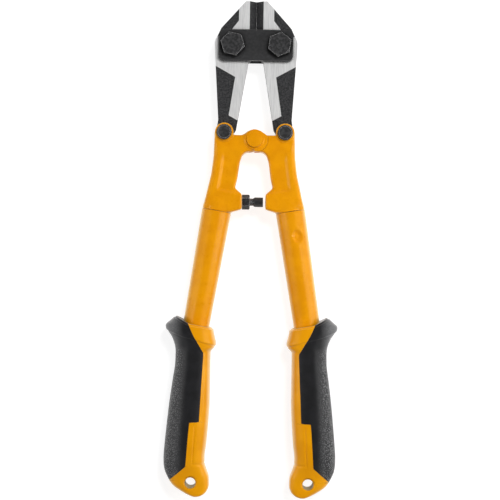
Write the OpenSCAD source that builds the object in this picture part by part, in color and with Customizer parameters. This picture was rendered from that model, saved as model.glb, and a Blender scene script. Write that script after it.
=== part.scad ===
// Bolt cutters with compound levers, 12 inch class.
// The tool lies on its back: +Y towards the jaw tips, +Z up, origin in the middle of its footprint.
// Outlines are drawn for the right-hand side, from the axis of the centre pivot; the left side is mirrored.

/* [Overall] */
// Length from the jaw tips to the ends of the grips
overall_length = 305; // [304:0.5:306]
// From the centre pivot to the jaw tips
head_reach = 85; // [84.5:0.5:85.5]

/* [Linkage] */
// Distance between the two jaw pivots
jaw_pivot_spacing = 28.8; // [28.6:0.1:29]
// From the centre pivot up to the jaw pivots
jaw_pivot_reach = 57.8; // [57.5:0.1:58]
// Distance between the two toggle pivots, where the jaws meet the handles
toggle_spacing = 37.4; // [37:0.1:38]
// Height of the toggle pivots above the centre pivot with the jaws shut
toggle_rise = 4.2; // [4:0.1:4.4]

/* [Jaws and plates] */
// Thickness of a jaw over its ground faces
jaw_thickness = 9; // [8.5:0.1:9.5]
// How far the black forged areas lie below the ground faces
forged_step = 0.6; // [0.4:0.1:0.8]
// Width of the bevel behind each cutting edge
bevel_width = 4.4; // [4:0.1:5]
// Thickness of a link plate
plate_thickness = 4; // [3.5:0.1:4.5]
// Width of a link plate
plate_width = 45.2; // [44:0.2:46]
// Height of a link plate
plate_height = 18.9; // [18.5:0.1:19.3]

/* [Fasteners] */
// Diameter of the jaw bolts, M8
jaw_bolt_d = 8; // [7.8:0.1:8]
// Width across flats of the jaw bolt heads and nuts
jaw_hex = 13; // [12:0.5:13]
// Diameter of the toggle bolts, M6
toggle_bolt_d = 6; // [5.5:0.1:6]
// Diameter of the round toggle bolt heads
toggle_head_d = 9.2; // [8.8:0.1:9.6]
// Diameter of the centre rivet's shank
rivet_d = 5.6; // [5:0.1:5.6]
// Diameter of the stop screw, M5
stop_screw_d = 5; // [4.8:0.1:5]

/* [Handles] */
// Thickness of a handle head over its pivot bosses
head_thickness = 17; // [16.6:0.1:17.4]
// Outer diameter of a tube at the handle head
tube_top_d = 18; // [17.6:0.1:18.2]
// Outer diameter of a tube inside the grip
tube_low_d = 16.2; // [15.8:0.1:16.4]
// Wall of the tube
tube_wall = 1.5; // [1.3:0.1:1.6]
// Angle of the tube to the centre line
tube_angle = 9.2; // [9:0.1:9.4]
// Angle of the tube inside the grip
grip_angle = 4; // [3.8:0.1:4.2]

/* [Grips] */
// Thickness of the soft cover over the hard core
cover_thickness = 2; // [1.6:0.1:2.2]
// Diameter of the hanging hole
hang_hole_d = 6.6; // [6:0.1:7]

/* [Hidden] */
$fn = 64;

fit = 0.05;             // radial clearance of a pin that turns in its bore
side_gap = 0.1;         // clearance between the jaws and the link plates
tiny = 0.01;

jaw_pivot = [jaw_pivot_spacing / 2, jaw_pivot_reach];
toggle_pivot = [toggle_spacing / 2, toggle_rise];

plate_z = jaw_thickness / 2 + side_gap;       // inner face of the front link plate
plate_outer_z = plate_z + plate_thickness;
plate_corner = 3.2;
plate_low_y = 48.1;

hex_head_h = 5.3;
jaw_nut_h = 6.5;
left_hex_turn = -13;    // how the left bolt head happens to stand
right_hex_turn = 22;

toggle_head_h = 2.8;
toggle_hex = 10;
toggle_nut_h = 5;
tail_r = 5.2;           // round end of a jaw's tail

boss_z = head_thickness / 2;
web_z = boss_z - 1;     // face of the handle head between the bosses
pocket_depth = 1.2;
toggle_boss_r = 5.8;
centre_boss_r = 6.1;
toggle_slot_r = 8;      // room for the jaw's tail in the fork of the handle head
toggle_slot_z = jaw_thickness / 2 - forged_step + 0.15;

// The handles carry the open pivot of the linkage, so the tongue's eye and its relief leave this much play.
open_play = 1.8;
tongue_z = 3.5;
fork_z = tongue_z + 0.2;
relief_r = centre_boss_r + open_play + 0.1;
flange_r = relief_r + 0.2;      // each lug carries a thin flange that hides the relief
flange_z = boss_z - 0.3;

rivet_head_r = 4.9;
rivet_head_h = 2.4;
rivet_tail_r = 4.8;
rivet_tail_h = 2.2;

stop_y = -38.4;         // axis of the stop screw, below the centre pivot
stop_boss_x = 7.2;      // face of each stop boss, from the centre line
lock_nut_hex = 8;
lock_nut_h = 4.8;
bumper_x = [-0.4, 5.8];
bumper_r = 3;
screw_x = [-20, 4.2];
screw_bore_end = -23;

tube_start = [22.75, -44.1];    // middle of the tube's upper end
across = [cos(tube_angle), sin(tube_angle)];
web_end = tube_start - 0.5 * [sin(tube_angle), -cos(tube_angle)];    // the web stops short of the tube
tube_straight = 69;     // from the handle head to the bend
tube_bend_r = 120;
tube_tail = 67;         // from the bend to the tube's lower end
seam = 0.02;            // the tail is a hair thicker and laps over the bend, so that they join
seam_lap = 0.5;
spigot_r = 7.15;
spigot_length = 20;
collar_r = 8.4;         // round end of the handle head, above the tube
collar_length = 7;
dimple_depth = 1;
dimple_r = 7;

hang_hole = [36.1, -211.2];
hang_land_z = 8.3;      // flat land around the hanging hole

pivot_y = overall_length / 2 - head_reach;
middle_z = plate_outer_z + jaw_nut_h;     // the jaw nuts rest on the surface

// Upright places of the parts: everything below is drawn from the centre pivot at mid thickness.
module placed() translate([0, pivot_y, middle_z]) children();
module left() mirror([1, 0, 0]) children();
module slab(low, high) translate([0, 0, low]) linear_extrude(high - low) children();
module both_faces() { children(); mirror([0, 0, 1]) children(); }
module rod(at, r, low, high) translate([at[0], at[1], low]) cylinder(h = high - low, r = r);

// ---- jaws ----

tip_gap = 0.005;    // from the centre line to a cutting edge at its tip, with the jaws shut
hip_gap = 0.03;
hip_r = jaw_pivot[0] - hip_gap;    // the jaws' hips roll on each other about their pivots
function arc(c, r, a, b, n) = [for (i = [0:n]) c + r * [cos(a + (b - a) * i / n), sin(a + (b - a) * i / n)]];

module jaw_outline() {
    polygon(concat(
        [[tip_gap, head_reach], [6.6, head_reach], [21.5, 68.4]],
        arc([18.4, 58.6], 7, 32, 0, 6),
        [[25.2, 53], [22.6, 12], [23.4, 6.4], toggle_pivot, [13, 3.6], [11.6, 6]],
        [[4.65, 47.4]],
        arc(jaw_pivot, hip_r, 223, 180, 8)));
}

module forged_areas() {
    polygon([[10.4, 90], [10.8, 80.5], [10.8, 73], [15.4, 67], [18.6, 63.4], [30, 63.4], [30, 90]]);
    polygon([[30, 47.9], [12.6, 38.3], [16.2, 14.6], [8, 10.1], [8, -5], [30, -5]]);
}

module cutting_bevel() {
    edge_land = 0.15;
    bevel_low_y = 63;
    translate([0, head_reach + 1, 0]) rotate([90, 0, 0])
        linear_extrude(head_reach + 1 - bevel_low_y)
            polygon([[-1, edge_land], [hip_gap, edge_land], [bevel_width, jaw_thickness / 2],
                     [bevel_width, jaw_thickness], [-1, jaw_thickness]]);
}

module jaw() {
    half = jaw_thickness / 2;
    difference() {
        union() {
            slab(-half, half) jaw_outline();
            rod(toggle_pivot, tail_r, -half, half);
        }
        both_faces() slab(half - forged_step, half + 1) forged_areas();
        both_faces() cutting_bevel();
        rod(jaw_pivot, jaw_bolt_d / 2 + fit, -half - 1, half + 1);
        rod(toggle_pivot, toggle_bolt_d / 2 + fit, -half - 1, half + 1);
    }
}

// ---- link plates and their bolts ----

module plate_blank() {
    w = plate_width / 2 - plate_corner;
    low = plate_low_y + plate_corner;
    high = plate_low_y + plate_height - plate_corner;
    for (x = [-w, w], y = [low, high]) rod([x, y], plate_corner, plate_z, plate_outer_z);
    slab(plate_z, plate_outer_z) translate([-w, plate_low_y]) square([2 * w, plate_height]);
    slab(plate_z, plate_outer_z)
        translate([-w - plate_corner, low]) square([2 * (w + plate_corner), high - low]);
}

module link_plate() {
    difference() {
        plate_blank();
        for (x = [-1, 1])
            rod([x * jaw_pivot[0], jaw_pivot[1]], jaw_bolt_d / 2 + fit, plate_z - 1, plate_outer_z + 1);
    }
}

// A hexagon with the usual 30 degree chamfer on its outer face, standing on z = 0.
module hexagon(flats, h) {
    top_r = flats / 2 - 0.15;
    intersection() {
        cylinder(h = h, r = flats / sqrt(3), $fn = 6);
        cylinder(h = h, r1 = top_r + h / tan(30), r2 = top_r);
    }
}

module jaw_bolt(turn) {
    translate([jaw_pivot[0], jaw_pivot[1], plate_outer_z]) rotate(turn) hexagon(jaw_hex, hex_head_h);
    rod(jaw_pivot, jaw_bolt_d / 2, 0.4 - middle_z, plate_outer_z + tiny);
}

module nut(at, flats, h, bore_r, face_z, turn) {
    difference() {
        translate([at[0], at[1], face_z]) mirror([0, 0, 1]) rotate(turn) hexagon(flats, h);
        rod(at, bore_r, face_z - h - 1, face_z + 1);
    }
}

module jaw_nut() nut(jaw_pivot, jaw_hex, jaw_nut_h, jaw_bolt_d / 2 + fit, -plate_outer_z, 10);

// ---- toggle bolts and the centre rivet ----

module toggle_bolt() {
    chamfer = 0.8;
    head_r = toggle_head_d / 2;
    rod(toggle_pivot, toggle_bolt_d / 2, -boss_z - toggle_nut_h - 0.5, boss_z + tiny);
    rod(toggle_pivot, head_r, boss_z, boss_z + toggle_head_h - chamfer);
    translate([toggle_pivot[0], toggle_pivot[1], boss_z + toggle_head_h - chamfer])
        cylinder(h = chamfer, r1 = head_r, r2 = head_r - chamfer);
}

module toggle_nut() nut(toggle_pivot, toggle_hex, toggle_nut_h, toggle_bolt_d / 2 + fit, -boss_z, 17);

module rivet_cap(r, h) {
    dome_r = 16;
    intersection() {
        cylinder(h = h, r = r);
        translate([0, 0, h - dome_r]) sphere(dome_r);
    }
}

module centre_rivet() {
    rod([0, 0], rivet_d / 2, -boss_z - tiny, boss_z + tiny);
    translate([0, 0, boss_z]) rivet_cap(rivet_head_r, rivet_head_h);
    translate([0, 0, -boss_z]) mirror([0, 0, 1]) rivet_cap(rivet_tail_r, rivet_tail_h);
}

// ---- stop screw between the handles ----

module along_x(from, to, r) translate([from, stop_y, 0]) rotate([0, 90, 0]) cylinder(h = to - from, r = r);

module stop_screw() along_x(screw_x[0], screw_x[1], stop_screw_d / 2);

module stop_lock_nut() {
    difference() {
        translate([-stop_boss_x, stop_y, 0]) rotate([0, 90, 0]) rotate(30) hexagon(lock_nut_hex, lock_nut_h);
        along_x(-stop_boss_x - 1, 0, stop_screw_d / 2 + fit);
    }
}

module stop_bumper() {
    shoulder = 1.2;
    difference() {
        union() {
            along_x(bumper_x[0] + shoulder, bumper_x[1], bumper_r);
            translate([bumper_x[0], stop_y, 0]) rotate([0, 90, 0])
                cylinder(h = shoulder, r1 = bumper_r - shoulder / 2, r2 = bumper_r);
        }
        along_x(bumper_x[0] - 1, screw_x[1] + 0.1, stop_screw_d / 2 + fit);
    }
}

// ---- handle heads ----

module head_outline() {
    polygon([
        [-3.4, -6.6], [0, 0], [3.4, 5.4], [7.5, 2.6], [13, 2.6], toggle_pivot, [24.5, 4.2],
        [25.2, -11.5], [26.4, -21.5], [28.7, -31.5],
        web_end + 8.3 * across, web_end - 8.3 * across,
        [10.6, -43.9], [stop_boss_x, -42.9], [stop_boss_x, -33.7],
        [11.6, -29.9], [10.2, -24], [9.4, -18], [8.8, -13.6], [7.4, -9.6], [5.4, -7.9]]);
}

module pocket_outline() polygon([[0, -9], [19.4, -8], [20.6, -18], [22.8, -31.6], [0, -35.2]]);

module head_blank() {
    slab(-web_z, web_z) head_outline();
    rod(toggle_pivot, toggle_boss_r, -boss_z, boss_z);
    rod([0, 0], centre_boss_r, -boss_z, boss_z);
    translate([tube_start[0], tube_start[1], 0]) rotate([90, 0, tube_angle]) rotate_extrude()
        polygon([[0, -collar_length], [collar_r - 3, -collar_length], [collar_r, 0],
                 [spigot_r, 0], [spigot_r, spigot_length], [0, spigot_length]]);
}

// The head with its fork for the jaw's tail, which both sides share.
module forked_head() {
    difference() {
        head_blank();
        rod(toggle_pivot, toggle_slot_r, -toggle_slot_z, toggle_slot_z);
        rod(toggle_pivot, toggle_bolt_d / 2 + fit, -boss_z - 1, boss_z + 1);
        both_faces() slab(web_z - pocket_depth, web_z + 1) pocket_outline();
    }
}

// The right head ends in a tongue with an oversize eye, hidden between the lugs of the left head.
module right_head() {
    difference() {
        forked_head();
        both_faces() rod([0, 0], relief_r, tongue_z, boss_z + 1);
        rod([0, 0], rivet_d / 2 + open_play, -boss_z, boss_z);
    }
}

module lug_flange() {
    intersection() {
        rod([0, 0], flange_r, web_z + side_gap, flange_z);
        slab(web_z, boss_z) polygon([[0, -7.8], [9, -7.8], [9, 2.6], [7.5, 2.6], [3.4, 5.4], [0, 5.4]]);
    }
}

module left_head() {
    difference() {
        union() {
            left() forked_head();
            both_faces() lug_flange();
        }
        rod([0, 0], relief_r, -fork_z, fork_z);
        rod([0, 0], rivet_d / 2 + fit, -boss_z - 1, boss_z + 1);
        along_x(screw_bore_end, -stop_boss_x + 1, stop_screw_d / 2 + fit);
    }
}

// ---- tubes ----

bend_start = tube_start + tube_straight * [sin(tube_angle), -cos(tube_angle)];
bend_centre = bend_start - tube_bend_r * across;
bend_end = bend_centre + tube_bend_r * [cos(grip_angle), sin(grip_angle)];

// The line of the tube: a straight tapering length, a slight bend and a straight length in the grip.
module tube_rod(grow) {
    top_r = tube_top_d / 2 + grow;
    low_r = tube_low_d / 2 + grow;
    translate([tube_start[0], tube_start[1], 0]) rotate([90, 0, tube_angle])
        cylinder(h = tube_straight, r1 = top_r, r2 = low_r);
    translate([bend_centre[0], bend_centre[1], 0]) rotate(grip_angle)
        rotate_extrude(angle = tube_angle - grip_angle, $fn = 720)
            translate([tube_bend_r, 0]) circle(low_r, $fn = 64);
    translate([bend_end[0], bend_end[1], 0]) rotate([90, 0, grip_angle])
        cylinder(h = tube_tail, r = low_r);
}

module ring(r, wall = tube_wall) difference() { circle(r); circle(r - wall); }

// The tube is locked on its spigot by a dimple, pressed in at the front of the right tube.
// It is drawn about the centre of its bend.
module handle_tube() {
    top_r = tube_top_d / 2;
    low_r = tube_low_d / 2;
    bend = tube_angle - grip_angle;
    translate([bend_centre[0], bend_centre[1], 0]) rotate(tube_angle) {
        difference() {
            translate([tube_bend_r, 0, 0]) rotate([-90, 0, 0]) rotate_extrude()
                polygon([[low_r - tube_wall, 0], [low_r, 0],
                         [top_r, tube_straight], [top_r - tube_wall, tube_straight]]);
            translate([tube_bend_r + 2, tube_straight - 15.5, top_r - 0.4 + dimple_r - dimple_depth])
                sphere(dimple_r);
        }
        rotate_extrude(angle = -bend, $fn = 720) translate([tube_bend_r, 0]) ring(low_r, $fn = 64);
        rotate(-bend) translate([tube_bend_r, seam_lap, 0]) rotate([90, 0, 0])
            linear_extrude(tube_tail + seam_lap) ring(low_r + seam, tube_wall + 2 * seam);
    }
}

// ---- grips ----

// Stations down the grip: [y, inner side, outer side, half thickness]
stations = [
    [-109.6, 25.6, 46.6, 11.8], [-112.4, 25.2, 49.7, 12.2], [-115, 24.6, 52.6, 12.6],
    [-118, 24.1, 51.5, 12.8], [-122, 23.3, 49, 12.8], [-125.6, 22.5, 47.6, 12.6],
    [-127.6, 22.6, 47, 12.3], [-131, 25, 46.6, 12], [-137, 25.1, 46.7, 12],
    [-148, 25.1, 48.1, 12.5], [-160, 25.1, 49.7, 12.9], [-175, 25.8, 51.3, 13],
    [-188, 26.8, 52.5, 12.6], [-196, 27.7, 53, 11.9], [-200, 27.5, 52.9, 11],
    [-204, 26.3, 52.2, 9.8], [-208.2, 24.9, 50.4, 8.9], [-213, 24.7, 47.3, 8.6],
    [-216.6, 25.9, 42.2, 8.5], [-218.8, 28.2, 38, 8.2], [-220, 31, 35, 7.2]];
ring_points = 28;
squareness = 0.72;      // below 1 the section is squarer than an ellipse

function rounded(c) = sign(c) * pow(abs(c), squareness);
function section(s, inset) =
    let (mid = (s[1] + s[2]) / 2, half = (s[2] - s[1]) / 2 - inset, depth = s[3] - inset)
    [for (i = [0:ring_points - 1])
        let (a = 360 * i / ring_points)
        [mid + half * rounded(cos(a)), s[0], depth * rounded(sin(a))]];

// A closed skin over the stations, drawn in by inset.
module grip_skin(inset) {
    count = len(stations);
    n = ring_points;
    points = [for (s = stations) each section(s, inset)];
    sides = [for (k = [0:count - 2], i = [0:n - 1])
        let (j = (i + 1) % n) each [
            [k * n + i, (k + 1) * n + i, (k + 1) * n + j],
            [k * n + i, (k + 1) * n + j, k * n + j]]];
    top = [[for (i = [0:n - 1]) i]];
    bottom = [[for (i = [n - 1:-1:0]) (count - 1) * n + i]];
    polyhedron(points, concat(top, sides, bottom), convexity = 6);
}

// The free-form mouldings are each kept as one mesh.
module moulded() resize([0, 0, 0]) children();

// What lies above the slanting top of the collar and the guard.
module above_collar() slab(-20, 20) polygon([[15, -117.8], [38.7, -113.6], [46.6, -109.5], [60, -100], [15, -100]]);

module cover_area() {
    slab(-20, 20) polygon([
        [60, -100], [44, -105], [41, -111.5], [38.7, -113.6], [35.5, -120.6], [29.3, -131.1],
        [29.3, -133], [31.2, -173.5], [37, -173.9], [37.6, -180], [39.1, -201], [49.1, -209.9], [60, -219.6]]);
}

module grip_body() {
    difference() {
        grip_skin(0);
        above_collar();
    }
}

module grip_core() {
    difference() {
        moulded() difference() {
            grip_body();
            difference() {
                cover_area();
                grip_skin(cover_thickness);
            }
            tube_rod(0.15);
            both_faces() rod(hang_hole, hang_hole_d / 2 + 2, hang_land_z, 20);
        }
        rod(hang_hole, hang_hole_d / 2, -20, 20);
    }
}

module grip_cover() {
    moulded() difference() {
        intersection() {
            grip_body();
            cover_area();
        }
        grip_skin(cover_thickness);
    }
}

// ---- the nodes ----

steel = "dimgray";
black_steel = "#303030";
paint = "#f09a0c";
rubber = "#262626";

color(steel) placed() left() jaw();  // jaw_left
color(steel) placed() jaw();  // jaw_right
color(black_steel) placed() link_plate();  // link_plate_front
color(black_steel) placed() mirror([0, 0, 1]) link_plate();  // link_plate_rear
color(black_steel) placed() left() jaw_bolt(-left_hex_turn);  // jaw_bolt_left
color(black_steel) placed() jaw_bolt(right_hex_turn);  // jaw_bolt_right
color(black_steel) placed() left() jaw_nut();  // jaw_nut_left
color(black_steel) placed() jaw_nut();  // jaw_nut_right
color(paint) placed() left_head();  // handle_head_left
color(paint) placed() right_head();  // handle_head_right
color(black_steel) placed() left() toggle_bolt();  // toggle_bolt_left
color(black_steel) placed() toggle_bolt();  // toggle_bolt_right
color(black_steel) placed() left() toggle_nut();  // toggle_nut_left
color(black_steel) placed() toggle_nut();  // toggle_nut_right
color(paint) placed() centre_rivet();
color(black_steel) placed() stop_screw();
color(black_steel) placed() stop_lock_nut();
color(rubber) placed() stop_bumper();
color(paint) placed() rotate([0, 180, 0]) handle_tube();  // handle_tube_left
color(paint) placed() handle_tube();  // handle_tube_right
color(paint) placed() left() grip_core();  // grip_core_left
color(paint) placed() grip_core();  // grip_core_right
color(rubber) placed() left() grip_cover();  // grip_cover_left
color(rubber) placed() grip_cover();  // grip_cover_right
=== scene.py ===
import math

import bmesh
import bpy
import numpy as np
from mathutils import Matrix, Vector


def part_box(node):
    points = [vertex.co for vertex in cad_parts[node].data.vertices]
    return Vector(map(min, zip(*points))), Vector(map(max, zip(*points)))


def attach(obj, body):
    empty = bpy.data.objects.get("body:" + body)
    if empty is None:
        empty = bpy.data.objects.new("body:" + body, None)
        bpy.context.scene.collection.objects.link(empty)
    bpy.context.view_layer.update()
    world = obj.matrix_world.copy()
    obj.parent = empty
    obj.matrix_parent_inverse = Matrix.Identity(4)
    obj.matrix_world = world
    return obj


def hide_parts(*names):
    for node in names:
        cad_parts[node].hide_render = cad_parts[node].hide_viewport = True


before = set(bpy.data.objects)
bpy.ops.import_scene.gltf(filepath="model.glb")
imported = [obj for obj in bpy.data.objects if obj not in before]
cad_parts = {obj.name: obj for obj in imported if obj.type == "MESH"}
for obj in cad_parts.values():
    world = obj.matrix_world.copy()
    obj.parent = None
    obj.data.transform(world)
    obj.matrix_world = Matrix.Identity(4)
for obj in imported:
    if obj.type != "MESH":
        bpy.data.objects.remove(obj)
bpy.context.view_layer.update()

MM = 0.001

# Shapes are drawn in millimetres for the right-hand side, from the axis of the centre rivet at
# mid thickness: +Y towards the jaws, +Z out of the front. The left side is mirrored.


def middle(node):
    low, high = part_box(node)
    return (low + high) / 2


ORIGIN = Vector((0.0, middle("centre_rivet").y, middle("jaw_left").z))
JAW_FACE = (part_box("jaw_left")[1].z - ORIGIN.z) / MM
TOGGLE = np.array([(middle("toggle_bolt_right").x - ORIGIN.x) / MM,
                   (middle("toggle_bolt_right").y - ORIGIN.y) / MM])
BODY = {"left": "left_handle", "right": "right_handle"}
SIDES = ("left", "right")


# ---------------------------------------------------------------- small helpers


def smoothstep(low, high, x):
    t = np.clip((x - low) / (high - low), 0, 1)
    return t * t * (3 - 2 * t)


def unit(vectors):
    return vectors / np.maximum(np.linalg.norm(vectors, axis=-1, keepdims=True), 1e-9)


def steady_curve(xs, ys):
    """A smooth curve through points that never overshoots them, as a function of x."""
    xs, ys = np.array(xs, float), np.array(ys, float)
    if xs[0] > xs[-1]:
        xs, ys = xs[::-1], ys[::-1]
    step = np.diff(xs)
    slope = np.diff(ys) / step
    tangent = np.zeros(len(xs))
    for i in range(1, len(xs) - 1):
        if slope[i - 1] * slope[i] > 0:
            w1, w2 = 2 * step[i] + step[i - 1], step[i] + 2 * step[i - 1]
            tangent[i] = (w1 + w2) / (w1 / slope[i - 1] + w2 / slope[i])
    tangent[0], tangent[-1] = slope[0], slope[-1]

    def value(x):
        x = np.clip(x, xs[0], xs[-1])
        k = np.clip(np.searchsorted(xs, x) - 1, 0, len(xs) - 2)
        t = (x - xs[k]) / step[k]
        return ((2 * t**3 - 3 * t**2 + 1) * ys[k] + (t**3 - 2 * t**2 + t) * step[k] * tangent[k]
                + (3 * t**2 - 2 * t**3) * ys[k + 1] + (t**3 - t**2) * step[k] * tangent[k + 1])

    return value


def loft(rings):
    """Faces between rings of the same number of points, closed at both ends."""
    count = len(rings[0])
    faces = [[j * count + i, j * count + (i + 1) % count,
              (j + 1) * count + (i + 1) % count, (j + 1) * count + i]
             for j in range(len(rings) - 1) for i in range(count)]
    faces.append(list(reversed(range(count))))
    faces.append([(len(rings) - 1) * count + i for i in range(count)])
    return np.vstack(rings), faces


def new_piece(name, points, faces, side, material):
    """A mesh object from millimetre points of the right-hand side, mirrored for the left."""
    points = np.array(points, float)
    if side == "left":
        points = points * (-1, 1, 1)
        faces = [face[::-1] for face in faces]
    mesh = bpy.data.meshes.new(name)
    mesh.from_pydata((points * MM + np.array(ORIGIN)).tolist(), [], [list(f) for f in faces])
    mesh.validate()
    piece = bpy.data.objects.new(name, mesh)
    bpy.context.scene.collection.objects.link(piece)
    mesh.polygons.foreach_set("use_smooth", [True] * len(mesh.polygons))
    mesh.materials.append(material)
    return piece


def merge_close(piece):
    """Points that fall together, as where a loft closes, become one."""
    nearest = 0.001 * MM
    shape = bmesh.new()
    shape.from_mesh(piece.data)
    bmesh.ops.remove_doubles(shape, verts=shape.verts, dist=nearest)
    bmesh.ops.dissolve_degenerate(shape, edges=shape.edges, dist=nearest)
    bmesh.ops.recalc_face_normals(shape, faces=shape.faces)
    shape.to_mesh(piece.data)
    shape.free()


def add_bevel(piece, width, segments, angle):
    bevel = piece.modifiers.new("soft_edges", "BEVEL")
    bevel.width = width * MM
    bevel.segments = segments
    bevel.limit_method = "ANGLE"
    bevel.angle_limit = math.radians(angle)
    bevel.harden_normals = False


# ---------------------------------------------------------------- materials

RANGE_SOCKETS = ("From Min", "From Max", "To Min", "To Max")


class Shader:
    """A small layer over one material's nodes."""

    def __init__(self, name):
        self.material = bpy.data.materials.new(name)
        self.material.use_nodes = True
        self.tree = self.material.node_tree
        self.surface = self.tree.nodes["Principled BSDF"]
        self.place = self.tree.nodes.new("ShaderNodeTexCoord").outputs["Object"]

    def node(self, kind, **settings):
        made = self.tree.nodes.new("ShaderNode" + kind)
        for key, value in settings.items():
            setattr(made, key, value)
        return made

    def link(self, source, target):
        self.tree.links.new(source, target)

    def set(self, **values):
        for key, value in values.items():
            socket = key.replace("_", " ").title().replace("Ior", "IOR")
            self.surface.inputs[socket].default_value = value

    def mapping(self, scale, rotation):
        made = self.node("Mapping")
        made.inputs["Scale"].default_value = scale
        made.inputs["Rotation"].default_value = rotation
        self.link(self.place, made.inputs["Vector"])
        return made.outputs["Vector"]

    def noise(self, size_mm, detail=2, roughness=0.5, vector=None):
        made = self.node("TexNoise")
        made.inputs["Scale"].default_value = 1 / (size_mm * MM)
        made.inputs["Detail"].default_value = detail
        made.inputs["Roughness"].default_value = roughness
        self.link(vector or self.place, made.inputs["Vector"])
        return made.outputs["Fac"]

    def spread(self, source, low, high, to_low=0.0, to_high=1.0, smooth=True):
        """The source's values from low to high, spread out from to_low to to_high."""
        made = self.node("MapRange", interpolation_type="SMOOTHSTEP" if smooth else "LINEAR")
        for socket, value in zip(RANGE_SOCKETS, (low, high, to_low, to_high)):
            made.inputs[socket].default_value = value
        self.link(source, made.inputs["Value"])
        return made.outputs["Result"]

    def math(self, operation, a, b=None):
        made = self.node("Math", operation=operation)
        for socket, value in zip(made.inputs, (a, b)):
            if isinstance(value, (int, float)):
                socket.default_value = value
            elif value is not None:
                self.link(value, socket)
        return made.outputs[0]

    def mix(self, factor, a, b):
        made = self.node("Mix", data_type="RGBA")
        self.link(factor, made.inputs["Factor"])
        for socket, value in ((made.inputs["A"], a), (made.inputs["B"], b)):
            if isinstance(value, tuple):
                socket.default_value = (*value, 1)
            else:
                self.link(value, socket)
        return made.outputs["Result"]

    def mix_value(self, factor, a, b):
        made = self.node("Mix", data_type="FLOAT")
        self.link(factor, made.inputs["Factor"])
        for socket, value in ((made.inputs["A"], a), (made.inputs["B"], b)):
            if isinstance(value, (int, float)):
                socket.default_value = value
            else:
                self.link(value, socket)
        return made.outputs["Result"]

    def axes(self):
        split = self.node("SeparateXYZ")
        self.link(self.place, split.inputs[0])
        return split.outputs

    def bump(self, height, depth_mm, under=None):
        made = self.node("Bump")
        made.inputs["Strength"].default_value = 1.0
        made.inputs["Distance"].default_value = depth_mm * MM
        self.link(height, made.inputs["Height"])
        if under is not None:
            self.link(under, made.inputs["Normal"])
        return made.outputs["Normal"]

    def wear_and_highlight_edges(self, width_mm=0.35):
        """1 near sharp edges, where a rounded normal leans away from the true one."""
        rounded = self.node("Bevel", samples=4)
        rounded.inputs["Radius"].default_value = width_mm * MM
        lean = self.node("VectorMath", operation="DOT_PRODUCT")
        self.link(rounded.outputs["Normal"], lean.inputs[0])
        self.link(self.node("NewGeometry").outputs["Normal"], lean.inputs[1])
        return self.spread(lean.outputs["Value"], 0.86, 0.985, 1.0, 0.0)

    def hollows(self, reach_mm, low=0.3, high=0.75):
        """1 in narrow hollows and seams, 0 out in the open: the mask for painted shade."""
        made = self.node("AmbientOcclusion", samples=6)
        made.inputs["Distance"].default_value = reach_mm * MM
        return self.spread(made.outputs["AO"], low, high, 1.0, 0.0)

    def grazing(self, most):
        """0 where the surface is seen square on, rising where it turns away: the mask for a painted rim
        highlight.
        """
        made = self.node("LayerWeight")
        made.inputs["Blend"].default_value = 0.5
        return self.spread(made.outputs["Facing"], 0.3, 0.85, 0.0, most)


WARM_GLOSS = (1.0, 0.82, 0.35, 1)
# The colour of the painted rim highlight on yellow parts, where a surface turns away.
PAINTED_RIM_HIGHLIGHT = (1.0, 0.76, 0.30)


def painted(name, base, shade):
    """Enamel of two close yellows, with painted shade in its seams and a painted rim highlight where it
    turns away.
    """
    roughness = 0.3
    peel = 0.012
    s = Shader(name)
    body = s.mix(s.spread(s.noise(9, detail=3), 0.35, 0.65), base, shade)
    # Painted shade: the enamel is darkened in seams and hollows, where shade falls.
    painted_shade = tuple(c * 0.55 for c in base)
    body = s.mix(s.hollows(2.5), body, painted_shade)
    # Painted rim highlight: paler yellow where the surface turns away from the view.
    s.link(s.mix(s.grazing(0.75), body, PAINTED_RIM_HIGHLIGHT), s.surface.inputs["Base Color"])
    s.link(s.spread(s.noise(3, detail=4), 0.3, 0.7, roughness - 0.04, roughness + 0.06),
           s.surface.inputs["Roughness"])
    s.set(specular_ior_level=0.28, specular_tint=WARM_GLOSS, coat_weight=0.06, coat_roughness=0.1)
    peel_bump = s.bump(s.noise(1.1, detail=2), peel)
    s.link(s.bump(s.noise(0.22, detail=1), 0.003, under=peel_bump), s.surface.inputs["Normal"])
    return s.material


def moulded_plastic(name, base, shade):
    """Hard yellow plastic with painted shade and less gloss in its deep seams, and a painted rim highlight
    where it turns away.
    """
    s = Shader(name)
    body = s.mix(s.spread(s.noise(14, detail=2), 0.35, 0.65), base, shade)
    # Painted shade: darker, with its gloss turned down, in deep seams and hollows where shade falls.
    painted_shade = tuple(c * 0.12 for c in base)
    hollow = s.hollows(9, 0.35, 0.8)
    body = s.mix(hollow, body, painted_shade)
    # Painted rim highlight: paler yellow where the surface turns away from the view.
    s.link(s.mix(s.grazing(0.6), body, PAINTED_RIM_HIGHLIGHT), s.surface.inputs["Base Color"])
    s.link(s.mix_value(hollow, 0.28, 0.02), s.surface.inputs["Specular IOR Level"])
    s.link(s.mix_value(hollow, 0.08, 0.0), s.surface.inputs["Coat Weight"])
    s.link(s.spread(s.noise(4, detail=3), 0.3, 0.7, 0.3, 0.38), s.surface.inputs["Roughness"])
    s.set(specular_tint=WARM_GLOSS, coat_roughness=0.15)
    s.link(s.bump(s.noise(0.3, detail=2), 0.006), s.surface.inputs["Normal"])
    return s.material


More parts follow.
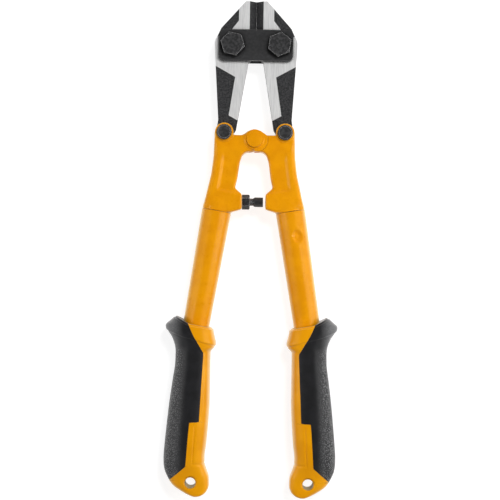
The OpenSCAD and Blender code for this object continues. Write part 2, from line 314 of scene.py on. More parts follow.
def black_metal(name, base, edge, roughness=0.45, grain=0.35, depth=0.02, patches=(0.8, 1.7)):
    """Mottled dark metal with painted shade in its seams and paler edges, partly wear and partly a painted
    highlight.
    """
    s = Shader(name)
    mottle = s.spread(s.noise(1.6, detail=4), 0.38, 0.66)
    body = s.mix(mottle, *(tuple(c * share for c in base) for share in patches))
    # Painted shade: darker in seams and next to whatever stands over the surface, where shade falls.
    body = s.mix(s.hollows(3.0, 0.55, 0.95), body, tuple(c * 0.2 for c in base))
    # Paler edges: partly wear of the black finish, partly a painted highlight along the edges.
    s.link(s.mix(s.wear_and_highlight_edges(), body, edge), s.surface.inputs["Base Color"])
    s.link(s.spread(s.noise(0.8, detail=3), 0.3, 0.7, roughness - 0.08, roughness + 0.1),
           s.surface.inputs["Roughness"])
    s.set(metallic=0.1, specular_ior_level=0.2)
    s.link(s.bump(s.noise(grain, detail=3), depth), s.surface.inputs["Normal"])
    return s.material


def jaw_steel(name):
    """Ground bright on the raised faces, black and rough where the forging was left, dark in the bevels."""
    s = Shader(name)
    grinding = (0, 0, math.radians(4))
    height = s.math("ABSOLUTE", s.math("SUBTRACT", s.axes()["Z"], ORIGIN.z))
    raised = s.spread(height, (JAW_FACE - 0.22) * MM, (JAW_FACE - 0.12) * MM, smooth=False)
    streaks = s.noise(1.0, detail=4, roughness=0.65, vector=s.mapping((1.9, 0.09, 1), grinding))
    bright = s.mix(s.spread(streaks, 0.3, 0.7), (0.67, 0.67, 0.67), (0.84, 0.84, 0.835))
    # Painted shade: the ground faces are darkened close to the plates and other walls that stand over them.
    bright = s.mix(s.hollows(1.8, 0.5, 0.8), bright, (0.08, 0.08, 0.08))
    scale = s.noise(0.9, detail=5, roughness=0.6)
    black = s.mix(s.spread(scale, 0.35, 0.7), (0.016, 0.016, 0.017), (0.062, 0.062, 0.064))
    s.link(s.mix(raised, black, bright), s.surface.inputs["Base Color"])
    s.link(s.mix_value(raised, 0.0, 0.25), s.surface.inputs["Metallic"])
    s.set(specular_ior_level=0.3)
    forged = s.spread(scale, 0.3, 0.7, 0.42, 0.6)
    ground = s.spread(streaks, 0.3, 0.7, 0.3, 0.44)
    s.link(s.mix_value(raised, forged, ground), s.surface.inputs["Roughness"])
    fine = s.noise(0.5, detail=3, vector=s.mapping((2.2, 0.05, 1), grinding))
    heights = s.mix_value(raised, scale, s.math("MULTIPLY", fine, 0.16))
    s.link(s.bump(heights, 0.06), s.surface.inputs["Normal"])
    return s.material


# In millimetres across, or along where negative.
PEBBLED = (38.0, 47.0)
PAINTED_SHEEN_ACROSS = (41.0, 51.0)
BELOW_GUARD = (-137.0, -131.0)


def grip_rubber(name):
    """Smooth beside the hard core and on the guard, with a painted sheen towards the guard's tip, and more
    and more pebbled towards the outer side, where painted highlights lighten the pebbles."""
    s = Shader(name)
    place = s.axes()
    across = s.math("MULTIPLY", s.math("ABSOLUTE", place["X"]), 1 / MM)
    along = s.math("MULTIPLY", s.math("SUBTRACT", place["Y"], ORIGIN.y), 1 / MM)
    edge = s.math("ADD", across, s.math("MULTIPLY", s.math("ADD", along, 165.0), 0.035))
    outer = s.spread(edge, *PEBBLED)
    slanted = s.math("ADD", along, s.math("MULTIPLY", across, -0.1))
    where = s.math("MULTIPLY", outer, s.spread(slanted, *BELOW_GUARD, 1.0, 0.0))
    cells = s.node("TexVoronoi", feature="SMOOTH_F1")
    cells.inputs["Scale"].default_value = 1 / (0.75 * MM)
    cells.inputs["Smoothness"].default_value = 0.25
    s.link(s.place, cells.inputs["Vector"])
    pebble = s.spread(cells.outputs["Distance"], 0.10, 0.5, 1.0, 0.0)
    patch = s.spread(s.noise(1.8, detail=2), 0.4, 0.6, 0.65, 1.0)
    # Painted highlights: the tops of the pebbles are made pale grey, more so towards the outer side.
    painted_glint = s.math("MULTIPLY", s.math("MULTIPLY", pebble, patch), outer)
    drift = s.spread(s.noise(6, detail=2), 0.35, 0.65)
    plain = s.mix(drift, (0.010, 0.010, 0.011), (0.014, 0.014, 0.0155))
    specks = s.spread(s.noise(0.5, detail=3), 0.3, 0.7, 0.5, 1.0)
    # Painted sheen: a paler grey towards the outer side of the guard and its tip, broken up in specks.
    painted_sheen = s.math("MULTIPLY", s.spread(across, *PAINTED_SHEEN_ACROSS), specks)
    plain = s.mix(painted_sheen, plain, (0.19, 0.19, 0.194))
    grey = s.mix(painted_glint, (0.009, 0.009, 0.010), (0.26, 0.26, 0.265))
    s.link(s.mix(where, plain, grey), s.surface.inputs["Base Color"])
    s.link(s.mix_value(where, 0.5, s.spread(pebble, 0, 1, 0.7, 0.5)), s.surface.inputs["Roughness"])
    s.link(s.mix_value(where, 0.2, 0.6), s.surface.inputs["Specular IOR Level"])
    s.set(sheen_weight=0.45, sheen_roughness=0.35)
    fine = s.noise(0.35, detail=3)
    heights = s.math("ADD", s.math("MULTIPLY", pebble, where), s.math("MULTIPLY", fine, 0.1))
    s.link(s.bump(heights, 0.28), s.surface.inputs["Normal"])
    return s.material


def smooth_rubber(name):
    """Plain dark rubber with a faint mottle."""
    s = Shader(name)
    s.link(s.mix(s.spread(s.noise(1.2), 0.35, 0.65), (0.016, 0.016, 0.017), (0.026, 0.026, 0.027)),
           s.surface.inputs["Base Color"])
    s.link(s.spread(s.noise(0.7, detail=3), 0.3, 0.7, 0.35, 0.5), s.surface.inputs["Roughness"])
    s.link(s.bump(s.noise(0.3), 0.01), s.surface.inputs["Normal"])
    return s.material


PAINT = painted("yellow_enamel", (0.85, 0.337, 0.0025), (0.79, 0.297, 0.002))
PLASTIC = moulded_plastic("yellow_moulding", (0.88, 0.365, 0.003), (0.82, 0.325, 0.002))
PLATE = black_metal("plate_black", (0.037, 0.037, 0.038), (0.12, 0.12, 0.12), patches=(0.95, 1.2))
OXIDE = black_metal("black_oxide", (0.034, 0.034, 0.035), (0.55, 0.55, 0.55), roughness=0.42,
                    grain=0.5, depth=0.03)
JAWS = jaw_steel("ground_and_forged_steel")
RUBBER = grip_rubber("pebbled_rubber")
BUMPER = smooth_rubber("bumper_rubber")

# ---------------------------------------------------------------- carried-over CAD nodes

CAD_EDGE_ANGLE = 35


def dress(node, material, width, segments=2):
    """A CAD node keeps its shape, with its sharp edges softened, and gets a detailed material."""
    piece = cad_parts[node]
    piece.data.materials.clear()
    piece.data.materials.append(material)
    add_bevel(piece, width, segments, CAD_EDGE_ANGLE)


for side in SIDES:
    dress("jaw_" + side, JAWS, 0.22)
    dress("jaw_bolt_" + side, OXIDE, 0.25)
    dress("jaw_nut_" + side, OXIDE, 0.2)
    dress("toggle_bolt_" + side, OXIDE, 0.2)
    dress("toggle_nut_" + side, OXIDE, 0.2)
for side in ("front", "rear"):
    dress("link_plate_" + side, PLATE, 0.7, segments=3)
dress("centre_rivet", PAINT, 0.4, segments=3)
dress("stop_lock_nut", OXIDE, 0.2)
dress("stop_bumper", BUMPER, 0.2)

# ---------------------------------------------------------------- stop screw, with its thread

STOP_Y = (middle("stop_screw").y - ORIGIN.y) / MM
SCREW_RADIUS, PITCH, THREAD_DEPTH = 2.5, 0.8, 0.42
FLANK_STEEPNESS = 2.6


def threaded_rod(name, low, high, body, material):
    """A rod along X, drawn as rings whose radius follows the thread's helix."""
    around, per_turn = 40, 10
    count = int((high - low) / PITCH * per_turn)
    points = []
    for j in range(count + 1):
        x = low + (high - low) * j / count
        for i in range(around):
            angle = 2 * math.pi * i / around
            phase = (x / PITCH + i / around) % 1
            ridge = 1 - min(1, abs(phase - 0.5) * FLANK_STEEPNESS)
            r = SCREW_RADIUS - THREAD_DEPTH * (1 - ridge)
            points.append((x, STOP_Y + r * math.cos(angle), r * math.sin(angle)))
    faces = [[j * around + i, (j + 1) * around + i,
              (j + 1) * around + (i + 1) % around, j * around + (i + 1) % around]
             for j in range(count) for i in range(around)]
    faces.append(list(range(around)))
    faces.append([count * around + i for i in reversed(range(around))])
    piece = new_piece(name, points, faces, "right", material)
    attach(piece, body)
    return piece


screw_low, screw_high = (corner.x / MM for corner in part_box("stop_screw"))
screw = threaded_rod("stop_screw_thread", screw_low, screw_high, "stop", OXIDE)
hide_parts("stop_screw")

# ---------------------------------------------------------------- handle heads

HEAD_THICKNESS = 17.0
WEB = HEAD_THICKNESS / 2 - 1
BOSS = HEAD_THICKNESS / 2
TUBE_START = np.array([22.75, -44.1])
TUBE_ANGLE = math.radians(9.2)
ACROSS = np.array([math.cos(TUBE_ANGLE), math.sin(TUBE_ANGLE)])
DOWN = np.array([math.sin(TUBE_ANGLE), -math.cos(TUBE_ANGLE)])
WEB_END = TUBE_START - 0.5 * DOWN
STOP_FACE = 7.2
HEAD_OUTLINE = [
    (-3.4, -6.6), (0, 0), (3.4, 5.4), (7.5, 2.6), (13, 2.6), tuple(TOGGLE), (24.5, 4.2),
    (25.2, -11.5), (26.4, -21.5), (28.7, -31.5),
    tuple(WEB_END + 8.5 * ACROSS), tuple(WEB_END - 8.5 * ACROSS),
    (10.6, -43.9), (STOP_FACE, -42.9), (STOP_FACE, -33.7),
    (11.6, -29.9), (10.2, -24), (9.4, -18), (8.8, -13.6), (7.4, -9.6), (5.4, -7.9)]
POCKET = [(0, 5), (18.2, 5), (20.0, -18), (22.0, -31.0), (0, -34.8)]
POCKET_DEPTH = 1.15
FLANGE = [(0, -7.5), (-9, -7.5), (-9, 2.6), (-7.5, 2.6), (-3.4, 5.4), (0, 5.4)]
LUG_RADIUS, RELIEF_RADIUS, FLANGE_RADIUS = 6.1, 8.0, 8.2
FLANGE_LIFT, FLANGE_HALF = 0.4, 0.27
TOGGLE_BOSS_RADIUS, TOGGLE_BORE = 5.7, 3.05
COLLAR_RADIUS, COLLAR_FLARE, COLLAR_LENGTH, COLLAR_GAP = 8.6, 0.22, 7.0, 0.25
SPIGOT_RADIUS, SPIGOT_HALF = 7.0, 2.0
SEAM = 0.06
# The jaw's tail turns in a fork. At the rivet the right head's tongue lies in the left head's slot.
FORK_RADIUS, FORK_HALF = 7.9, JAW_FACE - 0.45
TONGUE_HALF, SLOT_HALF = 3.4, 3.7
RIVET_EYE, RIVET_BORE = 4.6, 2.85
STOP_BORE, STOP_BORE_END = 2.6, 23


def outline_distance(outline, x, y):
    """Signed distance to a closed outline: negative inside."""
    outline = np.array(outline, float)
    best = np.full(x.shape, 1e9)
    inside = np.zeros(x.shape, bool)
    for a, b in zip(outline, np.roll(outline, -1, axis=0)):
        ex, ey = b - a
        t = np.clip(((x - a[0]) * ex + (y - a[1]) * ey) / (ex * ex + ey * ey), 0, 1)
        best = np.minimum(best, np.hypot(x - a[0] - t * ex, y - a[1] - t * ey))
        crosses = (a[1] > y) != (b[1] > y)
        with np.errstate(divide="ignore", invalid="ignore"):
            inside ^= crosses & (x < a[0] + (y - a[1]) * ex / (ey if ey else 1e-9))
    return np.where(inside, -best, best)


def blurred(plane, passes):
    for _ in range(passes):
        plane = (np.roll(plane, 1, 0) + 2 * plane + np.roll(plane, -1, 0)) / 4
        plane = (np.roll(plane, 1, 1) + 2 * plane + np.roll(plane, -1, 1)) / 4
    return plane


def rounded_slab(flat, z, half, radius):
    u, v = flat + radius, np.abs(z) - half + radius
    return np.hypot(np.maximum(u, 0), np.maximum(v, 0)) + np.minimum(np.maximum(u, v), 0) - radius


def join(a, b, k):
    h = np.clip(0.5 + 0.5 * (b - a) / k, 0, 1)
    return b + (a - b) * h - k * h * (1 - h)


def cut(a, b, k=0.0):
    return np.maximum(a, -b) if k == 0 else -join(-a, b, k)


def net_points(field, low, step):
    """One point in each cell that the surface crosses, its number by cell, and the cut edges."""
    cells = np.array(field.shape) - 1
    total, count = np.zeros((*cells, 3)), np.zeros(tuple(cells))
    cut_edges = []
    for axis in range(3):
        near = np.take(field, range(0, cells[axis]), axis)
        far = np.take(field, range(1, cells[axis] + 1), axis)
        crosses = (near < 0) != (far < 0)
        share = np.where(crosses, near / np.where(crosses, near - far, 1), 0)
        cut_edges.append((crosses, near < 0))
        others = [a for a in range(3) if a != axis]
        for du, dv in ((0, 0), (0, 1), (1, 0), (1, 1)):
            window = [slice(None)] * 3
            window[others[0]] = slice(du, du + cells[others[0]])
            window[others[1]] = slice(dv, dv + cells[others[1]])
            there = crosses[tuple(window)]
            count += there
            total[..., axis] += share[tuple(window)] * there
            total[..., others[0]] += du * there
            total[..., others[1]] += dv * there
    active = count > 0
    number = np.full(tuple(cells), -1)
    number[active] = np.arange(active.sum())
    points = np.array(low) + step * (np.argwhere(active) + total[active] / count[active][:, None])
    return points, number, cut_edges


def net_faces(number, cut_edges):
    """A four-sided face round each cut edge, facing out of the solid."""
    cells = number.shape
    faces = []
    for axis in range(3):
        crosses, inward = cut_edges[axis]
        u, v = [(1, 2), (2, 0), (0, 1)][axis]
        at = np.argwhere(crosses)
        at = at[(at[:, u] > 0) & (at[:, v] > 0) & (at[:, u] < cells[u]) & (at[:, v] < cells[v])]
        corners = []
        for du, dv in ((1, 1), (0, 1), (0, 0), (1, 0)):
            cell = at.copy()
            cell[:, u] -= du
            cell[:, v] -= dv
            corners.append(number[tuple(cell.T)])
        quads = np.stack(corners, 1)
        outward = inward[tuple(at.T)]
        faces += quads[outward].tolist() + quads[~outward][:, ::-1].tolist()
    return faces


def surface_net(field, low, step):
    """Points and four-sided faces on the zero surface of a field that is negative inside."""
    points, number, cut_edges = net_points(field, low, step)
    return points, net_faces(number, cut_edges)


def head_body(x, y, z):
    """A web with a soft hollow, two bosses, a collar at the tube, and the spigot inside it."""
    pivot = np.hypot(x, y)
    toggle = np.hypot(x - TOGGLE[0], y - TOGGLE[1])
    flat = blurred(outline_distance(HEAD_OUTLINE, x[:, :, 0], y[:, :, 0]), 7)[:, :, None]
    pocket = blurred(outline_distance(POCKET, x[:, :, 0], y[:, :, 0]), 8)[:, :, None]
    depth = POCKET_DEPTH * smoothstep(1.5, -1.5, pocket) * smoothstep(-5, -14, y)
    rounding = 1.5 + 2.0 * smoothstep(19, 24, x) * smoothstep(1, -9, y)
    body = rounded_slab(flat, z, WEB - depth, rounding)
    body = join(body, rounded_slab(pivot - LUG_RADIUS, z, BOSS, 0.6), 1.2)
    body = join(body, rounded_slab(toggle - TOGGLE_BOSS_RADIUS, z, BOSS, 0.7), 1.2)
    along = (x - TUBE_START[0]) * DOWN[0] + (y - TUBE_START[1]) * DOWN[1]
    off_axis = np.hypot((x - TUBE_START[0]) * ACROSS[0] + (y - TUBE_START[1]) * ACROSS[1], z)
    cone = off_axis - COLLAR_RADIUS - COLLAR_FLARE * along
    collar = np.maximum(cone, np.maximum(along + COLLAR_GAP, -COLLAR_LENGTH - along))
    body = join(body, collar, 2.2)
    body = np.maximum(body, along + SEAM)
    return join(body, np.maximum(off_axis - SPIGOT_RADIUS, np.abs(along) - SPIGOT_HALF), 0.01)


def head_field(side, x, y, z):
    """The casting's solid: its body, the left head's flanges, the fork, the bores and the rivet's joint."""
    height = np.abs(z)
    pivot = np.hypot(x, y)
    toggle = np.hypot(x - TOGGLE[0], y - TOGGLE[1])
    body = head_body(x, y, z)
    if side == "left":
        flange = outline_distance(FLANGE, x[:, :, 0], y[:, :, 0])[:, :, None]
        flange = np.maximum(np.maximum(flange, pivot - FLANGE_RADIUS),
                            np.abs(height - WEB - FLANGE_LIFT) - FLANGE_HALF)
        body = np.minimum(body, flange)
    body = cut(body, np.maximum(toggle - FORK_RADIUS, height - FORK_HALF))
    body = cut(body, toggle - TOGGLE_BORE)
    if side == "right":
        body = cut(body, np.maximum(pivot - RELIEF_RADIUS, TONGUE_HALF - height), 0.25)
        return cut(body, pivot - RIVET_EYE)
    body = cut(body, np.maximum(pivot - RELIEF_RADIUS, height - SLOT_HALF))
    body = cut(body, pivot - RIVET_BORE)
    return cut(body, np.maximum(np.hypot(y - STOP_Y, z) - STOP_BORE, x - STOP_BORE_END))


def handle_head(side):
    step = 0.36
    low, high = np.array((-9.4, -48.0, -9.4)), np.array((34.0, 11.5, 9.4))
    axes = [np.arange(a, b + step, step) for a, b in zip(low, high)]
    x, y, z = np.meshgrid(*axes, indexing="ij")
    points, faces = surface_net(head_field(side, x, y, z), low, step)
    piece = new_piece(f"handle_head_{side}_casting", points, faces, side, PAINT)
    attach(piece, BODY[side])
    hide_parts("handle_head_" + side)


for side in SIDES:
    handle_head(side)

# ---------------------------------------------------------------- tubes

TOP_RADIUS, LOW_RADIUS = 9.0, 8.1
STRAIGHT, BEND_RADIUS, TAIL = 69.0, 120.0, 30.0
GRIP_ANGLE = math.radians(4)
BEND_START = TUBE_START + STRAIGHT * DOWN
BEND_CENTRE = BEND_START - BEND_RADIUS * ACROSS
DIMPLE_FROM, DIMPLE_OFFSET = 15.5, 2.0
DIMPLE_HALF_LENGTH, DIMPLE_HALF_WIDTH, DIMPLE_DEPTH = 4.7, 3.6, 1.9
# Distance down the tube and change of its radius, where its top edge is rounded.
TOP_EDGE = [(0.0, -1.5), (0.0, -0.35), (0.06, -0.12), (0.3, 0.0)]
DIMPLE_END = 24.0


def tube_line(s):
    """Point, direction across and radius at the distance s down the tube."""
    if s <= STRAIGHT:
        return TUBE_START + s * DOWN, ACROSS, TOP_RADIUS + (LOW_RADIUS - TOP_RADIUS) * s / STRAIGHT
    bend = (TUBE_ANGLE - GRIP_ANGLE) * BEND_RADIUS
    turn = TUBE_ANGLE - min(s - STRAIGHT, bend) / BEND_RADIUS
    out = np.array([math.cos(turn), math.sin(turn)])
    point = BEND_CENTRE + BEND_RADIUS * out
    past = max(0.0, s - STRAIGHT - bend)
    return point + past * np.array([out[1], -out[0]]), out, LOW_RADIUS


def tube_ring(s, inset, front):
    """A ring at the distance s, with its share of the dimple on the front (1) or the back (-1)."""
    around = 96
    centre, out, radius = tube_line(s)
    ring = []
    for i in range(around):
        angle = 2 * math.pi * i / around
        off, high = math.cos(angle), math.sin(angle)
        reach = math.hypot((s - DIMPLE_FROM) / DIMPLE_HALF_LENGTH,
                           (radius * off - DIMPLE_OFFSET) / DIMPLE_HALF_WIDTH)
        dent = DIMPLE_DEPTH * (1 - smoothstep(0.4, 1.0, reach)) if high * front > 0 else 0.0
        r = radius + inset - dent
        point = centre + r * off * out
        ring.append((point[0], point[1], r * high))
    return ring


def handle_tube(side):
    """The tube's dimple is at the front of the right tube and at the back of the left one."""
    front = 1 if side == "right" else -1
    places = TOP_EDGE + [(s, 0.0) for s in np.arange(1.0, DIMPLE_END, 0.5)]
    places += [(s, 0.0) for s in np.arange(DIMPLE_END, STRAIGHT + TAIL, 3.0)]
    points, faces = loft([tube_ring(s, inset, front) for s, inset in places])
    piece = new_piece(f"handle_tube_{side}_painted", points, faces, side, PAINT)
    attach(piece, BODY[side])
    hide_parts("handle_tube_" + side)


for side in SIDES:
    handle_tube(side)

# ---------------------------------------------------------------- grips

# Down the grip: y, inner side, outer side, half thickness, squareness of the section.
STATIONS = [
    (-109.6, 25.6, 46.6, 11.8, 0.66), (-112.4, 25.2, 49.7, 12.2, 0.66), (-115, 24.6, 52.3, 12.6, 0.66),
    (-118, 24.1, 51.5, 12.8, 0.66), (-122, 23.3, 49, 12.8, 0.68), (-125.6, 22.5, 47.6, 12.6, 0.70),
    (-127.6, 22.6, 47, 12.3, 0.72), (-131, 25, 46.6, 12, 0.74), (-137, 25.1, 46.7, 12, 0.74),
    (-148, 25.1, 48.1, 12.5, 0.72), (-160, 25.1, 49.7, 12.9, 0.72), (-175, 25.8, 51.3, 13, 0.72),
    (-188, 26.8, 52.5, 12.6, 0.72), (-196, 27.7, 53, 11.9, 0.70), (-200, 27.5, 52.9, 11, 0.66),
    (-204, 26.3, 52.2, 9.8, 0.6), (-208.2, 24.9, 50.4, 8.8, 0.52), (-213, 24.7, 47.3, 8.4, 0.46),
    (-216.6, 25.9, 42.2, 8.3, 0.46), (-218.8, 28.2, 38, 8.0, 0.46), (-219.8, 31, 35, 7.0, 0.5),
    (-220, 33.1, 33.2, 5.8, 0.5)]
GRIP_END = -220.0
GRIP_TOP = -109.5
SLANT_END = -133.0
# The black cover's inner border, and the slanting top of the collar and guard.
BORDER = [(-100, 38.9), (-113.6, 38.7), (-120.6, 35.5), (-131.1, 29.3), (-133, 29.2), (-173.5, 31.2),
          (-173.8, 37.0), (-180, 37.6), (-201, 39.1), (-209.9, 49.1), (-216, 56.0)]
TOP_LINE = [(15, -117.8), (38.7, -113.6), (46.6, -109.5), (60, -100)]
# The crease under the guard and collar, and the groove beside the core's lower panel.
CREASE = [(22.4, -127.1), (29.5, -124.9), (35, -123.3), (43, -121.0), (51.4, -117.6)]
GUARD_PROUD = 0.7
GROOVE = [(33.7, -176.5), (34.9, -199.5)]
GROOVE_FOOT = -199.6
GROOVE_DEPTH, GROOVE_WIDTH = 0.45, 0.42
OUTER_ROUNDING = 0.22
RIM_RADIUS = 0.9
# The tube's hole: its level, and how fast the tube's axis leans out on the way down to it.
HOLE_RADIUS, HOLE_DEPTH = 8.28, 5
HOLE_LEVEL, HOLE_LEAN = -113.5, 0.155
AROUND = 720
CORE_POINTS, COVER_POINTS, BED_POINTS = 97, 85, 22
COVER_DEPTH = 2.0
GAP = 0.12
CORE_EDGE, COVER_EDGE, GRIP_EDGE_ANGLE = 0.28, 0.3, 50
HANG_HOLE = (36.1, -211.2)
HANG_RADIUS = 3.3
HANG_MOUTH, HANG_ROUNDING = 8.3, 0.9


def from_end(y):
    return np.sqrt(np.maximum(y - GRIP_END, 0))


TABLE = np.array(STATIONS)
INNER, OUTER, HALF, SQUARE = (steady_curve(from_end(TABLE[:, 0]), TABLE[:, k]) for k in (1, 2, 3, 4))


def top_line(x):
    return np.interp(x, *np.array(TOP_LINE).T)


def section(y, angle):
    """Points of the skin at height y, which may differ from point to point."""
    w = from_end(y)
    mid, half = (INNER(w) + OUTER(w)) / 2, (OUTER(w) - INNER(w)) / 2
    c, s = -np.cos(angle), np.sin(angle)
    q = SQUARE(w) + OUTER_ROUNDING * smoothstep(0.0, 0.5, c)
    x = mid + half * np.sign(c) * np.abs(c) ** q
    z = HALF(w) * np.sign(s) * np.abs(s) ** q
    return x, z


def skin_ring(level, drop=0.0):
    """One dense ring of the skin. Near the top the rings slant with the collar."""
    angle = np.linspace(0, 2 * math.pi, 2 * AROUND, endpoint=False)
    y = np.full(angle.shape, float(level))
    for _ in range(24):
        x, z = section(y, angle)
        if level > SLANT_END:
            share = (level - SLANT_END) / (GRIP_TOP - SLANT_END)
            y = 0.5 * y + 0.5 * (SLANT_END + share * (top_line(x) - drop - SLANT_END))
    return np.stack([x, y, z], 1)


def evenly(ring):
    """The same closed ring with AROUND points at equal spacing, starting at the inner side."""
    closed = np.vstack([ring, ring[:1]])
    length = np.concatenate([[0], np.cumsum(np.linalg.norm(np.diff(closed, axis=0), axis=1))])
    want = np.linspace(0, length[-1], AROUND, endpoint=False)
    return np.stack([np.interp(want, length, closed[:, k]) for k in range(3)], 1)


def tube_hole(skin):
    """The ring round the tube that matches a ring of the skin, point for point."""
    axis_x = BEND_START[0] + (BEND_START[1] - HOLE_LEVEL) * HOLE_LEAN
    toward = unit(np.stack([skin[:, 0] - axis_x, skin[:, 2]], 1))
    x = axis_x + HOLE_RADIUS * toward[:, 0]
    return np.stack([x, top_line(x), HOLE_RADIUS * toward[:, 1]], 1)


def grip_levels():
    """Heights of the rings: closest at the border's step, and closing in on the rounded end."""
    body = list(np.arange(GRIP_TOP, -128, -0.5)) + list(np.arange(-128, -172.8, -0.8))
    step = [-172.9, -173.3, -173.6, -173.75, -173.9, -174.3]
    lower = list(np.arange(-175, -216, -0.62))
    end = [GRIP_END + w * w for w in np.linspace(from_end(lower[-1] - 0.5), 0.0, 14)]
    return body + step + lower + end


def guard_relief(points):
    """The guard and collar stand a little proud of the grip below them."""
    crease = np.interp(points[..., 0], *np.array(CREASE).T)
    return GUARD_PROUD * smoothstep(-0.35, 0.35, points[..., 1] - crease)


def panel_relief(points):
    """A shallow groove frames the lower inner side of the hard core."""
    x, y = points[..., 0], points[..., 1]
    (top_x, top_y), (foot_x, foot_y) = GROOVE
    groove_x = np.interp(-y, [-top_y, -foot_y], [top_x, foot_x])
    upright = np.hypot(x - groove_x, np.maximum(0, np.maximum(y - top_y, foot_y - y)))
    foot = np.hypot(y - GROOVE_FOOT, np.maximum(0, x - foot_x))
    return -GROOVE_DEPTH * np.exp(-((np.minimum(upright, foot) / GROOVE_WIDTH) ** 2))


def rim_rings(outer):
    """From down in the tube's hole, over the flat top and round the rim, to the skin's first ring."""
    hole = tube_hole(outer)
    inward = hole - outer
    inward[:, 1] = 0
    inward = unit(inward)
    below = hole.copy()
    below[:, 1] -= HOLE_DEPTH
    flat_edge = outer + inward * RIM_RADIUS
    flat_edge[:, 1] = outer[:, 1] + RIM_RADIUS
    rings = [below, hole] + [hole + (flat_edge - hole) * share for share in (0.35, 0.7, 1.0)]
    for turn in (72, 54, 36, 18):
        a = math.radians(turn)
        ring = outer + inward * RIM_RADIUS * (1 - math.cos(a))
        ring[:, 1] += RIM_RADIUS * math.sin(a)
        rings.append(ring)
    return rings + [outer]


def grip_grid():
    """Dense rings of points, from the tube's hole down to the end, with their outward normals."""
    levels = grip_levels()
    rim = rim_rings(evenly(skin_ring(levels[0], RIM_RADIUS)))
    grid = np.array(rim + [evenly(skin_ring(level, RIM_RADIUS)) for level in levels[1:]])
    down = np.gradient(grid, axis=0)
    round_ = np.roll(grid, -1, 1) - np.roll(grid, 1, 1)
    normal = unit(np.cross(down, round_))
    relief = guard_relief(grid) + panel_relief(grid)
    relief[:len(rim)] = 0
    return grid + normal * relief[..., None], normal


def border_index(grid):
    """For each ring, how far round from the inner side the cover's border is, out of AROUND."""
    where = []
    half = AROUND // 2
    for ring in grid:
        side = ring[:half + 1]
        limit = np.interp(-side[:, 1], *(np.array(BORDER) * (-1, 1)).T)
        past = side[:, 0] - limit
        over = np.nonzero(past > 0)[0]
        if len(over) == 0 or over[0] == 0:
            where.append(float(half) if len(over) == 0 else 0.0)
            continue
        k = over[0]
        where.append(k - 1 + past[k - 1] / (past[k - 1] - past[k]))
    return np.array(where)


def sample(rows, index):
    """Values of a closed ring at fractional places round it."""
    index = np.asarray(index) % AROUND
    low = np.floor(index).astype(int) % AROUND
    share = (index - np.floor(index))[:, None]
    return rows[low] * (1 - share) + rows[(low + 1) % AROUND] * share


GRID, NORMAL = grip_grid()
BORDER_AT = border_index(GRID)
SPACING = np.linalg.norm(GRID - np.roll(GRID, 1, 1), axis=2).mean(1)


def bed_depth(at, space):
    """How deep the cover can lie at most where it is narrow."""
    return max(0.0, (AROUND / 2 - at) * space * 0.5 - 2 * GAP)


def grip_core(side):
    rings = []
    for ring, normal, at, space in zip(GRID, NORMAL, BORDER_AT, SPACING):
        shown = np.linspace(-at, at, CORE_POINTS)
        bed = np.linspace(at, AROUND - at, BED_POINTS)
        depth = min(COVER_DEPTH + 0.05, bed_depth(at, space))
        rings.append(np.vstack([sample(ring, shown), sample(ring, bed) - depth * sample(normal, bed)]))
    points, faces = loft(rings)
    piece = new_piece(f"grip_core_{side}_moulding", points, faces, side, PLASTIC)
    merge_close(piece)
    drill_hang_hole(piece, side)
    add_bevel(piece, CORE_EDGE, 2, GRIP_EDGE_ANGLE)
    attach(piece, BODY[side])
    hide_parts("grip_core_" + side)


def grip_cover(side):
    rings = []
    for ring, normal, at, space in zip(GRID, NORMAL, BORDER_AT, SPACING):
        gap = GAP / space
        start, end = min(at + gap, AROUND / 2), max(AROUND - at - gap, AROUND / 2)
        depth = min(COVER_DEPTH, bed_depth(at, space))
        shown = np.linspace(start, end, COVER_POINTS)
        bed = np.linspace(end, start, BED_POINTS)
        rings.append(np.vstack([sample(ring, shown), sample(ring, bed) - depth * sample(normal, bed)]))
        if at >= AROUND / 2 - 0.5:
            break
    points, faces = loft(rings)
    piece = new_piece(f"grip_cover_{side}_rubber", points, faces, side, RUBBER)
    merge_close(piece)
    add_bevel(piece, COVER_EDGE, 2, GRIP_EDGE_ANGLE)
    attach(piece, BODY[side])
    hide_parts("grip_cover_" + side)


def hang_hole_tool(side):
    """A spool, wider at its ends, so that the hole it cuts has rounded mouths."""
    around = 64
    profile = [(HANG_RADIUS + 1.3, -10.0), (HANG_RADIUS + 1.0, -8.5)]
    for turn in (15, 35, 55, 75):
        a = math.radians(turn)
        profile.append((HANG_RADIUS + HANG_ROUNDING * (1 - math.sin(a)),
                        -HANG_MOUTH + HANG_ROUNDING * (1 - math.cos(a))))
    profile.append((HANG_RADIUS, -7.3))
    profile += [(r, -z) for r, z in reversed(profile)]
    turns = [2 * math.pi * i / around for i in range(around)]
    rings = [np.array([(HANG_HOLE[0] + r * math.cos(a), HANG_HOLE[1] + r * math.sin(a), z) for a in turns])
             for r, z in profile]
    points, faces = loft(rings)
    tool = new_piece("hang_hole_tool", points, faces, side, PLASTIC)
    merge_close(tool)
    return tool


def drill_hang_hole(piece, side):
    tool = hang_hole_tool(side)
    hole = piece.modifiers.new("hang_hole", "BOOLEAN")
    hole.operation = "DIFFERENCE"
    hole.solver = "MANIFOLD"
    hole.object = tool
    bpy.context.view_layer.update()
    result = bpy.data.meshes.new_from_object(piece.evaluated_get(bpy.context.evaluated_depsgraph_get()))
    piece.modifiers.remove(hole)
    old = piece.data
    piece.data = result
    bpy.data.meshes.remove(old)
    bpy.data.objects.remove(tool)


for side in SIDES:
    grip_core(side)
    grip_cover(side)

# ---------------------------------------------------------------- floor, light and camera


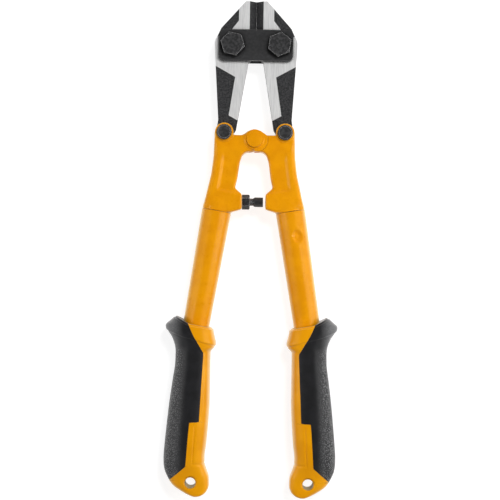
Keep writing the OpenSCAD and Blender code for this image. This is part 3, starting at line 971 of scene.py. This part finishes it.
def floor():
    mesh = bpy.data.meshes.new("floor")
    size = 3.0
    corners = [(-size, -size, 0), (size, -size, 0), (size, size, 0), (-size, size, 0)]
    mesh.from_pydata(corners, [], [(0, 1, 2, 3)])
    made = bpy.data.objects.new("floor", mesh)
    bpy.context.scene.collection.objects.link(made)
    s = Shader("pale_floor")
    s.set(base_color=(0.3, 0.3, 0.3, 1), roughness=1.0, specular_ior_level=0.0,
          emission_color=(1, 1, 1, 1), emission_strength=0.85)
    mesh.materials.append(s.material)


def area_light(name, place, target, width, height, power, shines=True):
    data = bpy.data.lights.new(name, "AREA")
    data.shape = "RECTANGLE"
    data.size, data.size_y = width, height
    data.energy = power
    made = bpy.data.objects.new(name, data)
    made.location = place
    made.rotation_euler = (Vector(target) - Vector(place)).to_track_quat("-Z", "Y").to_euler()
    made.visible_glossy = shines
    bpy.context.scene.collection.objects.link(made)


def white_tent():
    """A white world that lights little, dimmer overhead in reflections, and full for the camera."""
    world = bpy.data.worlds.new("studio")
    bpy.context.scene.world = world
    world.use_nodes = True
    tree = world.node_tree
    background = tree.nodes["Background"]
    background.inputs["Color"].default_value = (1, 1, 1, 1)
    direction = tree.nodes.new("ShaderNodeTexCoord")
    split = tree.nodes.new("ShaderNodeSeparateXYZ")
    tree.links.new(direction.outputs["Generated"], split.inputs[0])
    overhead = tree.nodes.new("ShaderNodeMapRange")
    overhead.interpolation_type = "SMOOTHSTEP"
    for socket, value in zip(RANGE_SOCKETS, (0.55, 0.95, 0.9, 0.07)):
        overhead.inputs[socket].default_value = value
    tree.links.new(split.outputs["Z"], overhead.inputs["Value"])
    ray = tree.nodes.new("ShaderNodeLightPath")
    gloss = tree.nodes.new("ShaderNodeMix")
    gloss.data_type = "FLOAT"
    gloss.inputs["A"].default_value = 0.12
    tree.links.new(ray.outputs["Is Glossy Ray"], gloss.inputs["Factor"])
    tree.links.new(overhead.outputs["Result"], gloss.inputs["B"])
    seen = tree.nodes.new("ShaderNodeMix")
    seen.data_type = "FLOAT"
    seen.inputs["B"].default_value = 1.0
    tree.links.new(ray.outputs["Is Camera Ray"], seen.inputs["Factor"])
    tree.links.new(gloss.outputs["Result"], seen.inputs["A"])
    tree.links.new(seen.outputs["Result"], background.inputs["Strength"])


def studio():
    """The tent, a key light from the top right, and a strip of light at each side."""
    white_tent()
    area_light("key", (0.25, 0.42, 1.1), (0, 0, 0.0), 0.25, 0.25, 8.5, shines=False)
    area_light("right_strip", (0.8, -0.05, 0.35), (0, 0, 0.0), 0.25, 1.2, 4.4)
    area_light("left_strip", (-0.8, -0.05, 0.3), (0, 0, 0.0), 0.15, 1.2, 2.8)


CAMERA_PLACE = (-0.00172, -0.00042, 1.0)
VIEW_ANGLE = math.radians(17.81)
CAMERA_TURN = math.radians(0.94)


def camera():
    """Straight above the tool, with a slight turn of the frame."""
    data = bpy.data.cameras.new("camera")
    data.sensor_width = 36
    data.angle = VIEW_ANGLE
    data.clip_start, data.clip_end = 0.01, 20
    made = bpy.data.objects.new("camera", data)
    made.location = CAMERA_PLACE
    made.rotation_euler = (0, 0, CAMERA_TURN)
    bpy.context.scene.collection.objects.link(made)
    bpy.context.scene.camera = made
    bpy.context.scene.view_settings.view_transform = "Standard"


floor()
studio()
camera()
